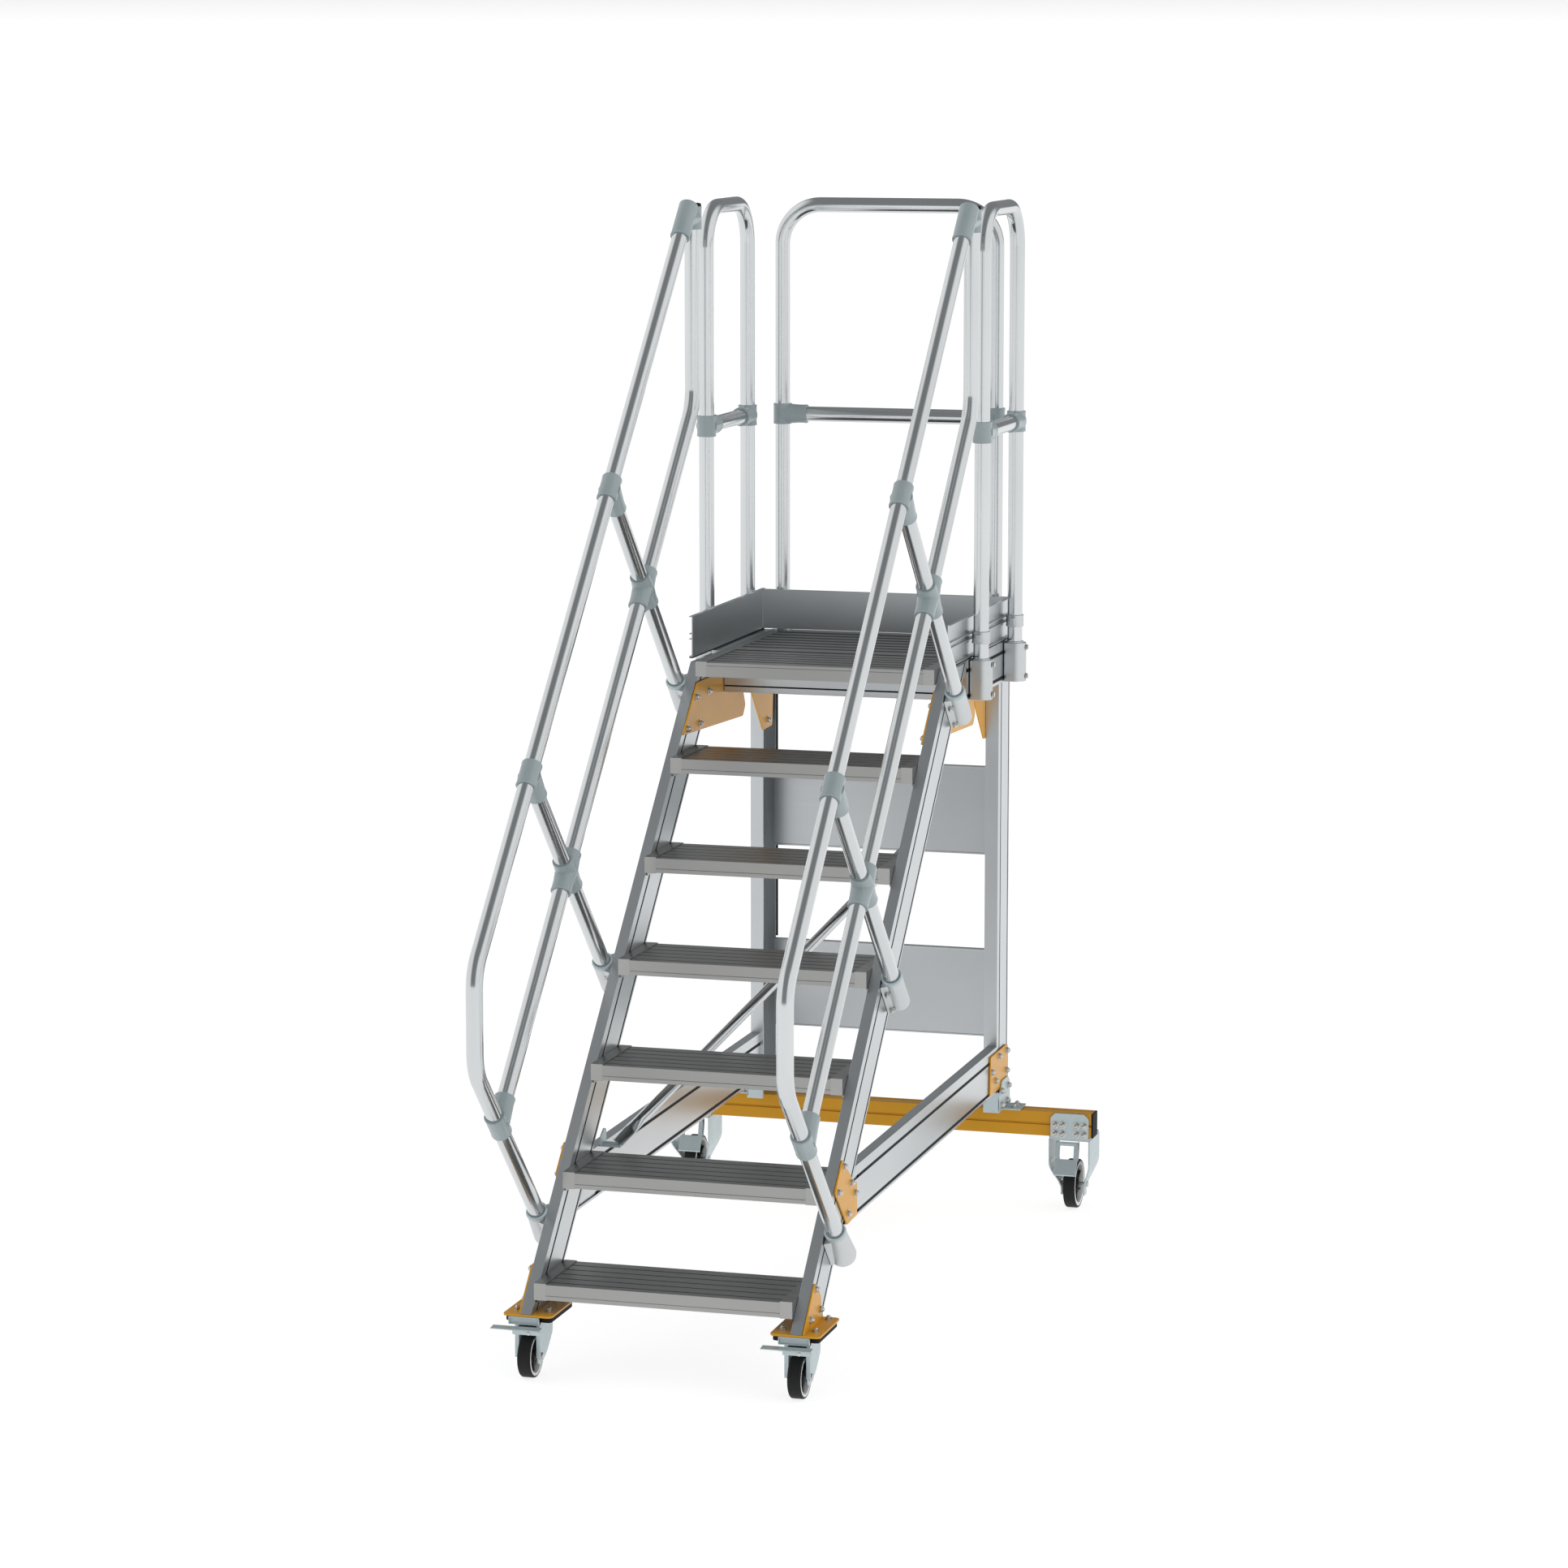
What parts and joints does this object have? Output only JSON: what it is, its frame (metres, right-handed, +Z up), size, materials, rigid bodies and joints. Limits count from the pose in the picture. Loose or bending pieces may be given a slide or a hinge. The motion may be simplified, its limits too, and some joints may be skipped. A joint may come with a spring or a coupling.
{
  "type": "rolling warehouse ladder",
  "caption": "Aluminium rolling platform ladder with inclined stair, tube handrails, guarded platform, rear outrigger beam and braked castors.",
  "frame": {"origin": "centre of the bounding box at floor level", "axes": "X to the right seen from the foot of the stair, Y from the foot of the stair to the back, Z up"},
  "size_m": [1.132, 2.2204, 2.5758],
  "materials": {
    "extrusion": "satin mill finish",
    "ribbed": "ribbed, matt",
    "tube": "bright polished tube",
    "gold_passivated": "gold passivated",
    "zinc": "galvanised",
    "tyre": "matt black rubber"
  },
  "bodies": {
    "frame": {"stringer_left": "extrusion", "stringer_right": "extrusion", "side_beam_left": "extrusion", "side_beam_right": "extrusion", "gusset_stair_left": "gold_passivated", "gusset_stair_right": "gold_passivated", "platform_side_beam_left": "extrusion", "platform_side_beam_right": "extrusion", "toe_board_left": "extrusion", "toe_board_right": "extrusion", "gusset_platform_left": "gold_passivated", "gusset_platform_right": "gold_passivated", "gusset_rear_left": "gold_passivated", "gusset_rear_right": "gold_passivated", "rear_post_left": "extrusion", "rear_post_right": "extrusion", "gusset_foot_left": "gold_passivated", "gusset_foot_right": "gold_passivated", "foot_angle_left": "zinc", "foot_angle_right": "zinc", "handrail_left": "tube", "handrail_right": "tube", "knee_rail_left": "tube", "knee_rail_right": "tube", "rail_brace_upper_left": "tube", "rail_brace_upper_right": "tube", "rail_brace_middle_left": "tube", "rail_brace_middle_right": "tube", "guard_side_left": "tube", "guard_side_right": "tube", "castor_adapter_left": "gold_passivated", "castor_adapter_right": "gold_passivated", "rear_castor_left": "zinc", "rear_castor_right": "zinc", "tread_1": "ribbed", "tread_2": "ribbed", "tread_3": "ribbed", "tread_4": "ribbed", "tread_5": "ribbed", "tread_6": "ribbed", "diagonal_brace": "tube", "platform_nosing": "ribbed", "platform_deck": "ribbed", "platform_front_beam": "extrusion", "platform_rear_beam": "extrusion", "toe_board_back": "extrusion", "cross_panel_upper": "extrusion", "cross_panel_lower": "extrusion", "traverse": "gold_passivated", "guard_back": "tube"},
    "front_swivel_left": {"front_fork_left": "zinc"},
    "front_wheel_left": {"front_wheel_left": "tyre"},
    "front_pedal_left": {"front_pedal_left": "zinc"},
    "rear_wheel_left": {"rear_wheel_left": "tyre"},
    "rear_pedal_left": {"rear_pedal_left": "zinc"},
    "front_swivel_right": {"front_fork_right": "zinc"},
    "front_wheel_right": {"front_wheel_right": "tyre"},
    "front_pedal_right": {"front_pedal_right": "zinc"},
    "rear_wheel_right": {"rear_wheel_right": "tyre"},
    "rear_pedal_right": {"rear_pedal_right": "zinc"}
  },
  "joints": [
    {"name": "front_swivel_turn_left", "type": "hinge", "parent": "frame", "child": "front_swivel_left", "pos_m": [-0.31, -0.78126, 0.125], "axis": [0, 0, 1], "continuous": true},
    {"name": "front_wheel_spin_left", "type": "hinge", "parent": "front_swivel_left", "child": "front_wheel_left", "pos_m": [-0.313, -0.84626, 0.05], "axis": [1, 0, 0], "continuous": true},
    {"name": "front_brake_left", "type": "hinge", "parent": "front_swivel_left", "child": "front_pedal_left", "pos_m": [-0.313, -0.88876, 0.1235], "axis": [1, 0, 0], "range_deg": [0, 10]},
    {"name": "rear_wheel_spin_left", "type": "hinge", "parent": "frame", "child": "rear_wheel_left", "pos_m": [-0.505, 1.04774, 0.0625], "axis": [1, 0, 0], "continuous": true},
    {"name": "rear_brake_left", "type": "hinge", "parent": "frame", "child": "rear_pedal_left", "pos_m": [-0.505, 0.99724, 0.1745], "axis": [1, 0, 0], "range_deg": [0, 12]},
    {"name": "front_swivel_turn_right", "type": "hinge", "parent": "frame", "child": "front_swivel_right", "pos_m": [0.31, -0.78126, 0.125], "axis": [0, 0, 1], "continuous": true},
    {"name": "front_wheel_spin_right", "type": "hinge", "parent": "front_swivel_right", "child": "front_wheel_right", "pos_m": [0.313, -0.84626, 0.05], "axis": [1, 0, 0], "continuous": true},
    {"name": "front_brake_right", "type": "hinge", "parent": "front_swivel_right", "child": "front_pedal_right", "pos_m": [0.313, -0.88876, 0.1235], "axis": [1, 0, 0], "range_deg": [0, 10]},
    {"name": "rear_wheel_spin_right", "type": "hinge", "parent": "frame", "child": "rear_wheel_right", "pos_m": [0.505, 1.04774, 0.0625], "axis": [1, 0, 0], "continuous": true},
    {"name": "rear_brake_right", "type": "hinge", "parent": "frame", "child": "rear_pedal_right", "pos_m": [0.505, 0.99724, 0.1745], "axis": [1, 0, 0], "range_deg": [0, 12]}
  ]
}
